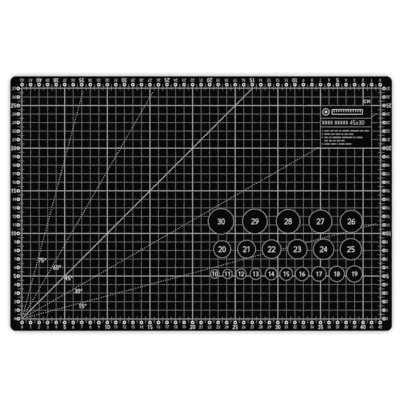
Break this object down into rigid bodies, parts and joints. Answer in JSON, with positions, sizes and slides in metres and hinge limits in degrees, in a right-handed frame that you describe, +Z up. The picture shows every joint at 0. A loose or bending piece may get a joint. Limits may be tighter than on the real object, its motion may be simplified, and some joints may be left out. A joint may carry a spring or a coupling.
{
  "type": "self healing cutting mat",
  "caption": "Thin black laminated cutting mat with rounded corners and a white print: centimetre grid, edge rulers, angle lines and template circles.",
  "frame": {"origin": "centre of the underside, where the mat rests", "axes": "+X along the long side, towards the high end of the bottom ruler; +Y along the short side, away from the bottom ruler; +Z up through the printed face"},
  "size_m": [0.448, 0.299, 0.0031],
  "materials": {
    "cutting_face": "fine pebbled matte black PVC",
    "healing_layer": "soft matte charcoal PVC",
    "stiff_core": "smooth dark grey hard plastic",
    "bottom_face": "fine pebbled matte black PVC",
    "ink": "screen-printed matte white ink",
    "fine_ink": "screen-printed matte white ink, laid thin"
  },
  "bodies": {
    "root": {"cutting_sheet": "cutting_face", "upper_healing_sheet": "healing_layer", "stiff_core_sheet": "stiff_core", "lower_healing_sheet": "healing_layer", "bottom_sheet": "bottom_face", "fine_grid": "fine_ink", "millimetre_ticks": "fine_ink", "panel_name_blocks": "fine_ink", "panel_note_bars": "fine_ink", "border_frame": "ink", "half_centimetre_ticks": "ink", "centimetre_rings": "ink", "bottom_ruler_numbers": "ink", "top_ruler_numbers": "ink", "left_ruler_numbers": "ink", "right_ruler_numbers": "ink", "bold_grid": "ink", "diagonal_line": "ink", "dotted_angle_lines": "ink", "angle_numbers": "ink", "large_circle_outlines": "ink", "medium_circle_outlines": "ink", "small_circle_outlines": "ink", "circle_numbers": "ink", "panel_frame": "ink", "panel_emblem": "ink", "panel_size_mark": "ink", "unit_mark": "ink"}
  },
  "joints": []
}
